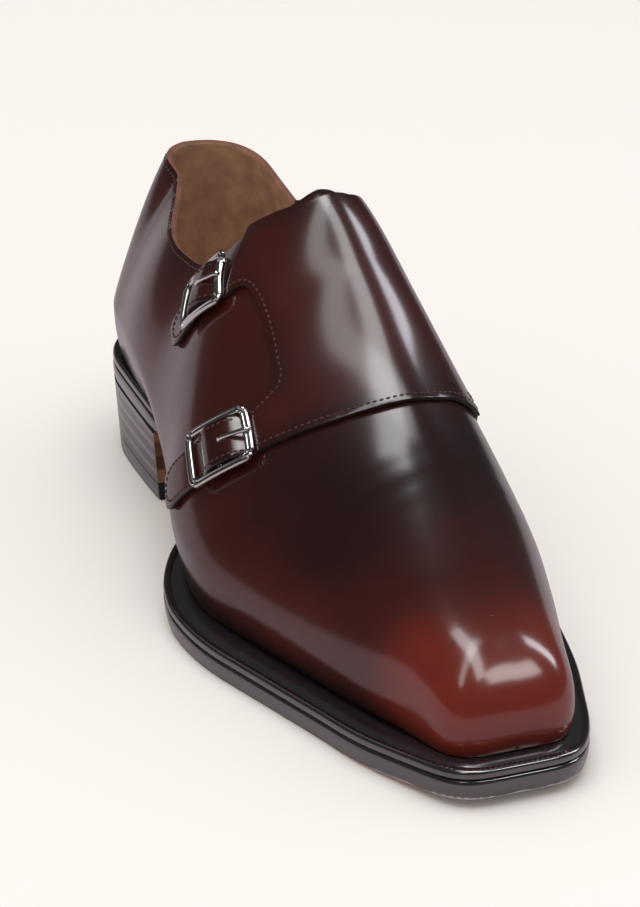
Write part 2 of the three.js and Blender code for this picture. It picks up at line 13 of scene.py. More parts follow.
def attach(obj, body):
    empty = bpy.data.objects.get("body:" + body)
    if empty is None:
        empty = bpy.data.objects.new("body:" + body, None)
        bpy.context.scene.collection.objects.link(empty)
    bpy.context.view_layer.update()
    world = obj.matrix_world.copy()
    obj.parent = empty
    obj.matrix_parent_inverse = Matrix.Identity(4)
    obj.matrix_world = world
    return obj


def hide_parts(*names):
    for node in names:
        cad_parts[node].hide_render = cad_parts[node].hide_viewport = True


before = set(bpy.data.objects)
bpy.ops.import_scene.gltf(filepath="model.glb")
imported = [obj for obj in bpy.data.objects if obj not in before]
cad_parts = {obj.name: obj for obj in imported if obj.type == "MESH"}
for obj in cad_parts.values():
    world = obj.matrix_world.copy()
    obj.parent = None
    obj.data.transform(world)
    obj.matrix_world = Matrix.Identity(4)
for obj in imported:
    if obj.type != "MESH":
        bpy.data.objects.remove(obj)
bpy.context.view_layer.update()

bl_info = {
    "name": "Monk Strap Shoe",
    "version": (1, 0, 0),
    "blender": (4, 5, 0),
    "location": "3D View > Sidebar > Shoe",
    "description": "Builds a double monk strap shoe in patinated calf",
    "category": "Object",
}

MM = 0.001
HEEL_CENTRE = 34.0
OUTSOLE = 6.0
WELT = 2.8
GAP = 0.3
LATERAL, MEDIAL = -1, 1


# ------------------------------------------------------------------ tables and curves

def smooth_curve(rows, column):
    """A smooth curve through one column by the first one, flat past its ends."""
    slopes = []
    for i in range(len(rows)):
        before, after = rows[max(i - 1, 0)], rows[min(i + 1, len(rows) - 1)]
        slopes.append((after[column] - before[column]) / (after[0] - before[0]))

    def value(along):
        i = next((i for i in range(1, len(rows)) if along <= rows[i][0]), len(rows) - 1) - 1
        span = rows[i + 1][0] - rows[i][0]
        t = min(max((along - rows[i][0]) / span, 0.0), 1.0)
        return ((2 * t**3 - 3 * t**2 + 1) * rows[i][column] + (t**3 - 2 * t**2 + t) * span * slopes[i]
                + (3 * t**2 - 2 * t**3) * rows[i + 1][column] + (t**3 - t**2) * span * slopes[i + 1])
    return value


def table(names, *rows):
    return {name: smooth_curve(rows, i + 1) for i, name in enumerate(names.split()[1:])}


LAST = table(
    "along lateral_foot medial_foot lateral_wide medial_wide lift ridge crest lateral_power medial_power",
    (-6, 18, 30, 20, 33, 17, 12, 116, 1.15, 2.8),
    (30, 24, 30, 26.2, 33.5, 17, 12, 114, 1.2, 2.7),
    (60, 27.5, 31, 32, 34.5, 18, 9.5, 112, 1.42, 2.7),
    (90, 27, 27, 36, 36, 18, 9.5, 117, 1.3, 2.6),
    (120, 34, 19, 41.5, 38, 18, 11, 122, 1.5, 2.2),
    (145, 45, 27, 48.5, 41, 17, 14, 104, 1.5, 2.25),
    (170, 48.5, 42, 50, 45, 15, 15, 84, 1.5, 2.25),
    (195, 43, 43.5, 44.5, 45.5, 13, 14, 69.5, 1.55, 2.2),
    (220, 36.5, 40, 38, 42.5, 11, 11, 59.5, 1.7, 2.2),
    (245, 30, 33.5, 31.5, 35.5, 10, 7, 51, 2, 2.3),
    (270, 23, 25.5, 24, 27, 8.5, 3, 44, 2.6, 2.5),
    (296, 19, 19.5, 19.5, 20, 6, 1, 36, 2.6, 2.4),
)
SOLE = table(
    "along lateral medial underside bevel",
    (-6, 23, 31, 26, 0.6),
    (34, 27, 31, 26, 0.6),
    (66, 28.5, 32, 25, 0.8),
    (82, 27.5, 31, 21.8, 2.5),
    (98, 27.5, 25.5, 17, 4.5),
    (112, 30, 19.8, 12, 5),
    (125, 36, 18.2, 8, 5),
    (138, 47, 21.5, 5, 4),
    (150, 53.5, 29.5, 2.8, 2.5),
    (160, 56.3, 39, 1.2, 1),
    (168, 57.4, 45.5, 0.5, 0.8),
    (183, 57, 51.5, 0, 0.8),
    (196, 55, 52, 0, 0.8),
    (209, 51.5, 51, 0, 0.8),
    (222, 47.8, 48.3, 0, 0.8),
    (245, 41.5, 42.5, 0.2, 0.8),
    (265, 36.5, 35.5, 0.9, 0.8),
    (285, 28.6, 27.6, 2, 0.8),
    (305, 20.5, 16.5, 3.6, 0.8),
)
# The collar's height, as seen from each side. The flap ends a little lower in front than what it covers.
COLLAR_BACK = [
    (-20, 100.5), (4, 100.5), (13, 99.7), (25, 97.2), (39, 93.2), (53, 89.6), (66, 87.7), (79, 87.3),
]
COLLARS = {
    "outer": [(88, 88), (94, 90.6), (101, 96), (107, 101), (113, 106), (119.5, 111.5)],
    "inner": [(85, 89.5), (92, 93), (103, 100.5), (112, 107), (119.5, 112.5)],
    "flap outer": [
        (88, 88), (94, 90.8), (101, 96.4), (107, 101.6), (113, 106.9), (119, 112.2), (125.5, 118.2),
    ],
    "flap inner": [(85, 89.5), (92, 93), (103, 100.5), (112, 107.5), (119, 113), (125.5, 118.2)],
    "tongue outer": [(88, 88), (101, 96), (107, 102), (113, 108.5), (116.5, 113.5), (119.5, 120)],
    "tongue inner": [(88, 90), (103, 100.5), (110, 106), (115, 111), (119.5, 120)],
}
COLLARS = {name: smooth_curve(COLLAR_BACK + front, 1) for name, front in COLLARS.items()}
COLLAR_FRONT, FLAP_FRONT = 119.5, 125.5


def clamp(value, low=0.0, high=1.0):
    """The value, kept between two ends."""
    return min(max(value, low), high)


def smoothstep(value, low, high):
    """A soft rise from 0 to 1 between two ends."""
    t = clamp((value - low) / (high - low))
    return t * t * (3 - 2 * t)


def hump(value, middle, width):
    """A soft bump of height 1 about a middle."""
    return math.exp(-(((value - middle) / width) ** 2))


def place(across, along, height):
    """A point in metres from the shoe's own millimetres."""
    return Vector((across * MM, (HEEL_CENTRE - along) * MM, height * MM))


def underside(along):
    """The height of the sole's underside."""
    return max(0.0, SOLE["underside"](along))


def sole_top(along):
    """The height of the outsole's upper face."""
    return underside(along) + OUTSOLE


def feather(along):
    """The height at which the upper stands on the welt."""
    return sole_top(along) + WELT + 2 * GAP


class PlanEnd:
    """The rounded end of a plan, walked by distance from where it starts to its tip."""
    STEPS = 400

    def __init__(self, pivot, tip, power, width):
        self.steps = []
        total, before = 0.0, None
        for i in range(self.STEPS + 1):
            turn = i / self.STEPS * math.pi / 2
            share = max(math.cos(turn), 0.0) ** (2 / power)
            along = pivot + (tip - pivot) * math.sin(turn) ** (2 / power)
            here = Vector((share * width, along))
            total += (here - before).length if before else 0.0
            before = here
            self.steps.append((total, along, share))
        self.steps[-1] = (total, tip, 0.0)
        self.length = total

    def at(self, distance):
        """How far along the shoe, and the share of its width, at a distance into this end."""
        distance = clamp(distance, 0.0, self.length)
        low, high = 0, self.STEPS
        while high - low > 1:
            middle = (low + high) // 2
            low, high = (middle, high) if self.steps[middle][0] <= distance else (low, middle)
        a, b = self.steps[low], self.steps[high]
        t = (distance - a[0]) / max(b[0] - a[0], 1e-9)
        return a[1] + (b[1] - a[1]) * t, a[2] + (b[2] - a[2]) * t


class Plan:
    """A closed plan: straight along the shoe between two rounded ends."""
    HEEL_WIDTH, TOE_WIDTH = 28.0, 26.0

    def __init__(self, heel_pivot, back, back_power, toe_pivot, front, front_power):
        self.heel_pivot, self.toe_pivot = heel_pivot, toe_pivot
        self.heel = PlanEnd(heel_pivot, back, back_power, self.HEEL_WIDTH)
        self.toe = PlanEnd(toe_pivot, front, front_power, self.TOE_WIDTH)
        self.start = heel_pivot - self.heel.length
        self.end = toe_pivot + self.toe.length
        self.back, self.front = back, front

    def station(self, run):
        """Along, share of the width, and the place whose width counts, at a run."""
        if run < self.heel_pivot:
            along, share = self.heel.at(self.heel_pivot - run)
            return along, share, self.heel_pivot
        if run > self.toe_pivot:
            along, share = self.toe.at(run - self.toe_pivot)
            return along, share, self.toe_pivot
        return run, 1.0, run


LAST_PLAN = Plan(30, 1, 2.3, 272, 294.5, 4.5)
SOLE_PLAN = Plan(34, 0, 2.3, 283, 303, 5)
GIRTH = 75.0  # skin units from the ridge to the widest line
TUCK = 1.35  # the feather line, as a share of those


def skin(run, girth):
    """The last's skin. Run goes from heel to toe, girth from the outer feather line over to the inner."""
    along, share, pivot = LAST_PLAN.station(run)
    side = MEDIAL if girth > 0 else LATERAL
    way = abs(girth) / GIRTH
    wide = LAST["medial_wide" if side > 0 else "lateral_wide"](along)
    foot = LAST["medial_foot" if side > 0 else "lateral_foot"](along)
    base = feather(along)
    level = base + LAST["lift"](along)
    keel = (LAST["medial_wide"](along) - LAST["lateral_wide"](along)) / 2
    if way >= 1:
        t = clamp(1 - (way - 1) / (TUCK - 1))
        tuck = (wide - foot) * (1 - t) ** 2
        ends = clamp((along - pivot) / 8, -1, 1)
        across = keel + share * (side * (wide - tuck) - keel)
        return place(across, along - ends * tuck, base + (level - base) * t)
    widest = keel + share * (side * wide - keel)
    middle = LAST["ridge"](pivot)
    lean = share if side < 0 else 0.0
    power = LAST["medial_power"](along) * (1 - lean) + LAST["lateral_power"](along) * lean
    turn = (1 - way) * math.pi / 2
    out = max(math.cos(turn), 0.0) ** (2 / power)
    spot = pivot + (along - pivot) * out
    rise = (LAST["crest"](spot) - level) * math.sin(turn) ** (2 / power)
    return place(middle + (widest - middle) * out, spot, level + rise)


def girth_at(run, side, wanted):
    """The girth where a test, falling from positive to negative down the side, turns over."""
    low, high = 0.0, TUCK
    for _ in range(30):
        middle = (low + high) / 2
        low, high = (middle, high) if wanted(skin(run, side * middle * GIRTH)) > 0 else (low, middle)
    return side * low * GIRTH


def at_height(run, side, height):
    """Run and girth of the skin at a height on one side."""
    return (run, girth_at(run, side, lambda p: p.z / MM - height))


def at_across(run, across):
    """Run and girth of the skin over the ridge, at a place across the shoe."""
    side = MEDIAL if across > LAST["ridge"](run) else LATERAL
    return (run, girth_at(run, side, lambda p: side * (across - p.x / MM)))


def at_collar(run, side, layer=""):
    """Run and girth of the skin at the collar's line of one layer of leather."""
    height = COLLARS[layer + ("inner" if side > 0 else "outer")]
    return (run, girth_at(run, side, lambda p: p.z / MM - height(HEEL_CENTRE - p.y / MM)))


def rounded(points, step=1.6):
    """A smooth line through points in any number of dimensions."""
    points = [Vector(p) for p in points]
    line = []
    for i in range(len(points) - 1):
        a, b = points[max(i - 1, 0)], points[i]
        c, d = points[i + 1], points[min(i + 2, len(points) - 1)]
        count = max(2, int((c - b).length / step))
        for k in range(count):
            t = k / count
            line.append(0.5 * ((2 * b) + (c - a) * t + (2 * a - 5 * b + 4 * c - d) * t * t
                               + (3 * b - a - 3 * c + d) * t**3))
    return line + [points[-1]]


def spaced(points, gap):
    """Points along a line at an even gap."""
    out, left = [points[0]], gap
    for a, b in zip(points, points[1:]):
        length = (b - a).length
        walked = 0.0
        while length - walked > left:
            walked += left
            out.append(a.lerp(b, walked / length))
            left = gap
        left -= length - walked
    return out


# ------------------------------------------------------------------ straps

def wall_height(along, height):
    """The point of the outer side's wall at a height."""
    level = feather(along) + LAST["lift"](along)
    rise = clamp((height - level) / (LAST["crest"](along) - level), 0, 0.98)
    power = LAST["lateral_power"](along)
    out = (1 - rise**power) ** (1 / power)
    wide, foot = LAST["lateral_wide"](along), LAST["lateral_foot"](along)
    tuck = (wide - foot) * (max(level - height, 0) / LAST["lift"](along)) ** 2
    ridge = LAST["ridge"](along)
    return place(ridge + (-wide - ridge) * out + tuck, along, height)


def wall_normal(along, height):
    """The direction outwards from that wall."""
    forward = wall_height(along + 0.6, height) - wall_height(along - 0.6, height)
    upward = wall_height(along, height + 0.6) - wall_height(along, height - 0.6)
    return forward.cross(upward).normalized()


class StrapLine:
    """A strap's own coordinates: down it from the buckle's middle, across it, and up from the wall."""

    def __init__(self, line, middle):
        self.points = [wall_height(a, h) for a, h in rounded(line, 0.8)]
        self.lengths = [0.0]
        for a, b in zip(self.points, self.points[1:]):
            self.lengths.append(self.lengths[-1] + (b - a).length / MM)
        centre = wall_height(*middle)
        nearest = min(range(len(self.points)), key=lambda i: (self.points[i] - centre).length)
        self.start = self.lengths[nearest]

    def at(self, down, across, up):
        """A point in metres from the strap's own coordinates in mm."""
        reach = clamp(self.start + down, 0.0, self.lengths[-1] - 1e-6)
        i = next(i for i in range(1, len(self.lengths)) if reach <= self.lengths[i])
        t = (reach - self.lengths[i - 1]) / (self.lengths[i] - self.lengths[i - 1])
        spot = self.points[i - 1].lerp(self.points[i], t)
        low, high = self.points[max(i - 4, 0)], self.points[min(i + 3, len(self.points) - 1)]
        tangent = (high - low).normalized()
        normal = wall_normal(HEEL_CENTRE - spot.y / MM, spot.z / MM)
        sideways = normal.cross(tangent).normalized()
        spot = spot + sideways * across * MM + tangent * (self.start + down - reach) * MM
        along, height = HEEL_CENTRE - spot.y / MM, spot.z / MM
        return wall_height(along, height) + wall_normal(along, height) * up * MM


UPPER_STRAP = StrapLine(
    [(128, 102.9), (119.2, 94.5), (111.3, 87), (104.9, 80.1), (100.3, 72.5), (97.9, 66)], (111.3, 87))
LOWER_STRAP = StrapLine(
    [(173.4, 70), (166.2, 63), (159.2, 56), (152.4, 48.8), (145.9, 41.5), (140.4, 34)], (159.2, 56))
UPPER_REACH, LOWER_REACH = 24, 31
STRAP_HALF, STRAP_THICK = 7.4, 1.6
TAB_HALF = 5.8
FRAME_LENGTH, FRAME_WIDTH = 10.9, 8.7
LOBE_END = -11.2


def lobe(strap):
    """Where a strap leaves the flap, in run and girth, upper corner first."""
    corners = []
    for across in (-STRAP_HALF, STRAP_HALF):
        point = strap.at(LOBE_END, across, 0)
        corners.append(Vector(at_height(HEEL_CENTRE - point.y / MM, LATERAL, point.z / MM)))
    return corners


# ------------------------------------------------------------------ mesh helpers

def shoe(context):
    """The leather's settings."""
    return context.scene.shoe_leather


def finish_piece(bm, name, materials, slot, nodes=(), smooth=True):
    """Makes a bmesh an object that rides on the shoe and stands for CAD nodes."""
    mesh = bpy.data.meshes.new(name)
    bm.to_mesh(mesh)
    bm.free()
    for material in materials:
        mesh.materials.append(material)
    if smooth:
        mesh.shade_smooth()
    piece = bpy.data.objects.new(name, mesh)
    bpy.context.scene.collection.objects.link(piece)
    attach(piece, "root")
    if nodes:
        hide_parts(*nodes)
    return piece


def panel_mesh(outline, cell, lift, patina):
    """A leather panel: its outline in run and girth is one face, which grid cuts divide and the skin
    then gives its shape."""
    bm = bmesh.new()
    corners = [bm.verts.new((p[0], p[1], 0)) for p in outline]
    bm.faces.new(corners)
    runs, girths = [p[0] for p in outline], [p[1] for p in outline]
    for axis, values in ((0, runs), (1, girths)):
        for i in range(math.floor(min(values) / cell), math.ceil(max(values) / cell)):
            spot, normal = [0, 0, 0], [0, 0, 0]
            spot[axis], normal[axis] = (i + 0.5) * cell, 1
            bmesh.ops.bisect_plane(bm, geom=bm.verts[:] + bm.edges[:] + bm.faces[:], dist=0.02,
                                   plane_co=spot, plane_no=normal)
    bmesh.ops.dissolve_degenerate(bm, edges=bm.edges, dist=0.03)
    tone = bm.verts.layers.float.new("patina")
    uv = bm.loops.layers.uv.new("skin")
    for face in bm.faces:
        for loop in face.loops:
            loop[uv].uv = (loop.vert.co.x / 100, loop.vert.co.y / 100)
    flat = {vert: (vert.co.x, vert.co.y) for vert in bm.verts}
    for vert, (run, girth) in flat.items():
        vert[tone] = patina(run, girth)
        vert.co = skin(run, girth)
    bmesh.ops.remove_doubles(bm, verts=bm.verts, dist=0.02 * MM)
    bm.normal_update()
    outwards = 0.0
    for face in bm.faces:
        middle = face.calc_center_median()
        inside = Vector((LAST["ridge"](HEEL_CENTRE - middle.y / MM) * MM, middle.y, 0.04))
        outwards += face.calc_area() * face.normal.dot(middle - inside)
    if outwards < 0:
        bmesh.ops.reverse_faces(bm, faces=bm.faces[:])
        bm.normal_update()
    rims = [vert for vert in bm.verts if vert.is_boundary]
    tree = KDTree(max(len(rims), 1))
    for i, vert in enumerate(rims):
        tree.insert(vert.co, i)
    tree.balance()
    moves = []
    for vert in bm.verts:
        if rims:
            edge = tree.find(vert.co)[2] / MM
            vert[tone] = vert[tone] - 0.16 * math.exp(-((edge / 4.5) ** 2))
        moves.append(vert.normal * lift(HEEL_CENTRE - vert.co.y / MM) * MM)
    for vert, move in zip(bm.verts, moves):
        vert.co += move
    return bm


def give_wall(piece, thickness, bevel=0.0):
    """A wall inwards, with its own lining and edge materials, and a soft edge."""
    wall = piece.modifiers.new("wall", "SOLIDIFY")
    wall.thickness = thickness * MM
    wall.offset = -1
    wall.use_quality_normals = True
    wall.material_offset = 1
    wall.material_offset_rim = 2
    if bevel:
        soft = piece.modifiers.new("soft edge", "BEVEL")
        soft.width = bevel * MM
        soft.segments = 2
        soft.limit_method = "ANGLE"
        soft.angle_limit = math.radians(55)
        soft.harden_normals = False


def bar_mesh(bm, strap, path, section, closed):
    """A bar along a path of (down, across, up) in a strap's coordinates: a small ring at each point,
    bridged to the next. Section points are [sideways, upwards]."""
    count = len(path)
    rings = []
    for i, (down, across, up) in enumerate(path):
        before = path[i - 1] if closed or i else path[0]
        after = path[(i + 1) % count] if closed else path[min(i + 1, count - 1)]
        run = Vector((after[0] - before[0], after[1] - before[1]))
        run = run.normalized() if run.length > 1e-6 else Vector((1, 0))
        ring = bmesh.ops.create_circle(bm, cap_ends=False, segments=len(section), radius=1.0)["verts"]
        for vert, (side, rise) in zip(ring, section):
            vert.co = strap.at(down - run.y * side, across + run.x * side, up + rise)
        rings.append([bm.edges.get((ring[k], ring[k - 1])) for k in range(len(ring))])
    for a, b in zip(rings, rings[1:] + rings[:1] if closed else rings[1:]):
        bmesh.ops.bridge_loops(bm, edges=a + b)
    if not closed:
        for ring in (rings[0], rings[-1]):
            bmesh.ops.contextual_create(bm, geom=ring)
    bmesh.ops.recalc_face_normals(bm, faces=bm.faces)


def plate_mesh(plan, columns, layers, count=150, ring_shaped=False):
    """A plate whose outline follows a plan, from layers listed upwards of (inset, height)."""
    bm = bmesh.new()
    runs = [plan.start + (plan.end - plan.start) * i / count for i in range(count + 1)]
    outline = [(run, LATERAL) for run in runs] + [(run, MEDIAL) for run in reversed(runs[1:-1])]
    lateral, medial = columns
    before = None
    first = None
    length = bm.verts.layers.float.new("edge_run")
    for inset, height in layers:
        ring = bmesh.ops.create_circle(bm, cap_ends=False, segments=len(outline), radius=1.0)["verts"]
        walked, last = 0.0, None
        for vert, (run, side) in zip(ring, outline):
            along, share, pivot = plan.station(run)
            gap = inset(along)
            keel = (medial(along) - lateral(along)) / 2
            half = (lateral(along) if side < 0 else medial(along)) - gap
            tip = plan.back if along < pivot else plan.front
            spot = along - (gap * (along - pivot) / abs(tip - pivot) if along != pivot else 0.0)
            vert.co = place(keel + share * (side * half - keel), spot, height(spot))
            walked += (vert.co - last).length if last else 0.0
            last = vert.co.copy()
            vert[length] = walked
        ring_edges = [bm.edges.get((ring[i], ring[(i + 1) % len(ring)])) for i in range(len(ring))]
        if before:
            bmesh.ops.bridge_loops(bm, edges=before + ring_edges)
        else:
            first = ring_edges
        before = ring_edges
    if ring_shaped:
        bmesh.ops.bridge_loops(bm, edges=before + first)
    else:
        caps = [bmesh.ops.contextual_create(bm, geom=edges)["faces"][0] for edges in (first, before)]
        bmesh.ops.triangulate(bm, faces=caps)
    bmesh.ops.recalc_face_normals(bm, faces=bm.faces)
    return bm


def stitch_row(bm, points, normals, length=1.7, width=0.85, height=0.36):
    """A row of stitches: short rounded grains lying along a line."""
    for i in range(len(points) - 1):
        a, b = points[i], points[i + 1]
        forward = b - a
        if forward.length < 0.6 * MM:
            continue
        forward.normalize()
        up = normals[i]
        side = up.cross(forward).normalized()
        up = forward.cross(side).normalized()
        turn = Matrix((forward, side, up)).transposed().to_4x4()
        size = Matrix.Diagonal((length / 2 * MM, width / 2 * MM, height * MM, 1))
        bmesh.ops.create_icosphere(bm, subdivisions=1, radius=1.0,
                                   matrix=Matrix.Translation((a + b) / 2) @ turn @ size)


def inset_line(surface, line, gap, spacing):
    """Points at an even spacing on a surface, moved in from an edge line, with their normals."""
    tree = BVHTree.FromBMesh(surface)
    moved = []
    for i, point in enumerate(line):
        tangent = (line[min(i + 1, len(line) - 1)] - line[max(i - 1, 0)]).normalized()
        spot, normal, _, _ = tree.find_nearest(point)
        sideways = normal.cross(tangent).normalized() * gap * MM
        inner = [tree.find_nearest(spot + sideways), tree.find_nearest(spot - sideways)]
        moved.append(min(inner, key=lambda found: found[3])[0])
    points = spaced(moved, spacing * MM)
    return points, [tree.find_nearest(point)[1] for point in points]


# ------------------------------------------------------------------ looks

def new_material(name, color, roughness, **values):
    """A Principled material with its node tree and its shader."""
    material = bpy.data.materials.new(name)
    material.use_nodes = True
    shader = material.node_tree.nodes["Principled BSDF"]
    shader.inputs["Base Color"].default_value = (*color, 1)
    shader.inputs["Roughness"].default_value = roughness
    for label, value in values.items():
        shader.inputs[label.replace("_", " ")].default_value = value
    return material, material.node_tree, shader


def add_node(tree, kind, **settings):
    """A node with some of its sockets or settings given by name."""
    node = tree.nodes.new(kind)
    for label, value in settings.items():
        if label in node.inputs:
            node.inputs[label].default_value = value
        else:
            setattr(node, label, value)
    return node


def grain_group():
    """Fine noise in the object's own coordinates, as a mask and as a bumped normal."""
    found = bpy.data.node_groups.get("fine grain")
    if found:
        return found
    tree = bpy.data.node_groups.new("fine grain", "ShaderNodeTree")
    for label, kind in (("Scale", "Float"), ("Detail", "Float"), ("Stretch", "Vector"), ("Strength", "Float"),
                        ("Distance", "Float")):
        tree.interface.new_socket(label, in_out="INPUT", socket_type="NodeSocket" + kind)
    tree.interface.new_socket("Mask", in_out="OUTPUT", socket_type="NodeSocketFloat")
    tree.interface.new_socket("Normal", in_out="OUTPUT", socket_type="NodeSocketVector")
    given, result = tree.nodes.new("NodeGroupInput"), tree.nodes.new("NodeGroupOutput")
    where = tree.nodes.new("ShaderNodeTexCoord")
    mapping = tree.nodes.new("ShaderNodeMapping")
    noise = tree.nodes.new("ShaderNodeTexNoise")
    bump = tree.nodes.new("ShaderNodeBump")
    for start, end in (
        (where.outputs["Object"], mapping.inputs["Vector"]),
        (given.outputs["Stretch"], mapping.inputs["Scale"]),
        (mapping.outputs["Vector"], noise.inputs["Vector"]),
        (given.outputs["Scale"], noise.inputs["Scale"]),
        (given.outputs["Detail"], noise.inputs["Detail"]),
        (given.outputs["Strength"], bump.inputs["Strength"]),
        (given.outputs["Distance"], bump.inputs["Distance"]),
        (noise.outputs["Fac"], bump.inputs["Height"]),
        (noise.outputs["Fac"], result.inputs["Mask"]),
        (bump.outputs["Normal"], result.inputs["Normal"]),
    ):
        tree.links.new(start, end)
    return tree


def add_grain(tree, scale, detail, strength=0.0, distance=0.0, stretch=(1, 1, 1)):
    """The shared grain, with one material's own values."""
    grain = tree.nodes.new("ShaderNodeGroup")
    grain.node_tree = grain_group()
    for socket, value in zip(grain.inputs, (scale, detail, stretch, strength, distance)):
        socket.default_value = value
    return grain


def add_ramp(tree, value, stops):
    """A colour ramp over a mask, from stops of (place, colour)."""
    ramp = add_node(tree, "ShaderNodeValToRGB")
    elements = ramp.color_ramp.elements
    while len(elements) < len(stops):
        elements.new(1)
    for element, (spot, color) in zip(elements, stops):
        element.position = spot
        element.color = (*color, 1)
    tree.links.new(value, ramp.inputs["Fac"])
    return ramp


def patinated_calf():
    """Polished calf whose colour follows the patina painted on each piece."""
    found = bpy.data.materials.get("patinated calf")
    if found:
        return found
    looks = bpy.context.scene.shoe_leather
    material, tree, shader = new_material("patinated calf", looks.oxblood, 0.4, Specular_IOR_Level=0.1,
                                          Coat_Weight=1.0, Coat_Roughness=0.17, Coat_IOR=1.65)
    painted = add_node(tree, "ShaderNodeAttribute", attribute_name="patina")
    clouds = add_grain(tree, 38, 4)
    mix = add_node(tree, "ShaderNodeMath", operation="MULTIPLY_ADD")
    mix.inputs[1].default_value = 0.3
    tree.links.new(clouds.outputs["Mask"], mix.inputs[0])
    tree.links.new(painted.outputs["Fac"], mix.inputs[2])
    shift = add_node(tree, "ShaderNodeMath", operation="SUBTRACT")
    shift.inputs[1].default_value = 0.15
    tree.links.new(mix.outputs["Value"], shift.inputs[0])
    ramp = add_ramp(tree, shift.outputs["Value"], [
        (0.0, looks.dark),
        (0.35, looks.oxblood),
        (0.65, looks.red_brown),
        (1.0, looks.bright),
    ])
    tree.links.new(ramp.outputs["Color"], shader.inputs["Base Color"])
    grain = add_grain(tree, 900, 3, 0.12, 0.0002)
    tree.links.new(grain.outputs["Normal"], shader.inputs["Normal"])
    return material


def simple(name):
    """The plainer finishes, by name."""
    found = bpy.data.materials.get(name)
    if found:
        return found
    finishes = {
        "lining": ((0.5, 0.29, 0.18), 0.55),
        "cut edge": ((0.018, 0.008, 0.006), 0.6),
        "collar edge": ((0.2, 0.075, 0.045), 0.5),
        "thread": ((0.075, 0.016, 0.012), 0.5),
        "edge": ((0.014, 0.011, 0.013), 0.26),
        "heel leather": ((0.25, 0.12, 0.055), 0.5),
        "rubber": ((0.012, 0.011, 0.011), 0.55),
        "sole leather": ((0.36, 0.2, 0.1), 0.5),
    }
    color, roughness = finishes[name]
    material, tree, shader = new_material(name, color, roughness)
    if name == "edge":
        shader.inputs["Coat Weight"].default_value = 1
        shader.inputs["Coat Roughness"].default_value = 0.16
        shader.inputs["Coat IOR"].default_value = 2.2
    stretch = (1, 1, 9) if name == "heel leather" else (1, 1, 1)
    grain = add_grain(tree, 160, 5, 0.15, 0.0003, stretch)
    ramp = add_ramp(tree, grain.outputs["Mask"], [
        (0.25, tuple(c * 0.72 for c in color)),
        (0.75, tuple(min(c * 1.25, 1) for c in color)),
    ])
    tree.links.new(ramp.outputs["Color"], shader.inputs["Base Color"])
    tree.links.new(grain.outputs["Normal"], shader.inputs["Normal"])
    return material


def nickel():
    """Polished nickel, a little uneven."""
    found = bpy.data.materials.get("nickel")
    if found:
        return found
    material, tree, shader = new_material("nickel", (0.78, 0.77, 0.75), 0.13, Metallic=1.0)
    grain = add_grain(tree, 500, 2)
    rough = add_node(tree, "ShaderNodeMapRange")
    rough.inputs["To Min"].default_value = 0.09
    rough.inputs["To Max"].default_value = 0.2
    tree.links.new(grain.outputs["Mask"], rough.inputs["Value"])
    tree.links.new(rough.outputs["Result"], shader.inputs["Roughness"])
    return material


def leather_set():
    """A panel's three finishes: outer face, lining and cut edge."""
    return [patinated_calf(), simple("lining"), simple("cut edge")]


# ------------------------------------------------------------------ patina and panel edges

def patina(run, girth):
    """How bright the calf is: dark by the throat and along the vamp's middle, bright at the toe."""
    around = abs(girth) / GIRTH
    tone = 0.52
    tone += 0.5 * smoothstep(run, 246, 276) * (0.6 + 0.4 * smoothstep(around, 0.1, 0.6))
    tone -= 0.34 * hump(run, 205, 30) * (1 - smoothstep(around, 0.35, 0.95))
    tone += 0.12 * hump(run, 215, 30) * smoothstep(around, 0.55, 0.9)
    tone -= 0.2 * (1 - smoothstep(run, -20, 25))
    tone -= 0.12 * smoothstep(around, 1.1, 1.35)
    return clamp(tone, 0.02, 1)


def flap_patina(run, girth):
    """The flap's own tone: darker by its front edge, brighter down its sides."""
    around = abs(girth) / GIRTH
    return clamp(0.5 - 0.18 * hump(run, 190, 16) + 0.1 * hump(around, 0.55, 0.3), 0.02, 1)


def collar_edge(side, start, end, layer="", raised=0.0):
    """The collar's line in run and girth, from one run to another."""
    steps = max(2, int(abs(end - start) / 1.6))
    line = []
    for i in range(steps + 1):
        run, girth = at_collar(start + (end - start) * i / steps, side, layer)
        line.append((run, girth - side * raised))
    return line


def throat_edge(points):
    """A line over the instep in run and girth, from points of (across, along)."""
    return [at_across(along, across) for across, along in points]


THROAT = [
    (40, 173), (39.4, 176), (36.5, 179.8), (33, 182), (28.5, 184), (22, 186), (15, 186.2), (6.5, 184.9),
    (-2, 182.8), (-10, 180.2), (-20.5, 175.7), (-27.5, 172),
]
FLAP_INNER = [
    (50, 34), (60, 34), (66, 33.8), (74, 33), (82, 32.4), (86, 33.2), (91, 37), (98, 42), (106.6, 46),
    (120.5, 49.6), (134.4, 51), (143.8, 51.7), (156, 52.2), (163, 53.4), (169, 56),
]
FLAP_OUTER = [(159, 74.6), (155, 78.4), (147.3, 84.7), (138.8, 90.8), (130.7, 95.2), (126.5, 93.5)]


def flap_edges():
    """The flap's edge lines in run and girth, by name, all the way round."""
    lower, upper = lobe(LOWER_STRAP), lobe(UPPER_STRAP)
    return {
        "inner": rounded([at_height(along, MEDIAL, height) for along, height in FLAP_INNER]),
        "throat": rounded([*throat_edge(THROAT), lower[1]]),
        "outer": rounded([lower[0], *(at_height(a, LATERAL, h) for a, h in FLAP_OUTER), upper[1]]),
        "outer collar": collar_edge(LATERAL, upper[0][0], FLAP_FRONT, "flap ", 0.4),
        "inner collar": collar_edge(MEDIAL, FLAP_FRONT, 50, "flap ", 0.4),
    }


SLOT = [
    (15, 126), (15, 138), (13, 150), (8, 161), (0, 165), (-8, 161), (-13, 150), (-17, 139), (-21, 128),
]
SLOT_START = 119
TONGUE_SIDES = [(24, 112), (24, 150), (20, 176), (0, 186), (-20, 176), (-25, 150), (-26, 112)]


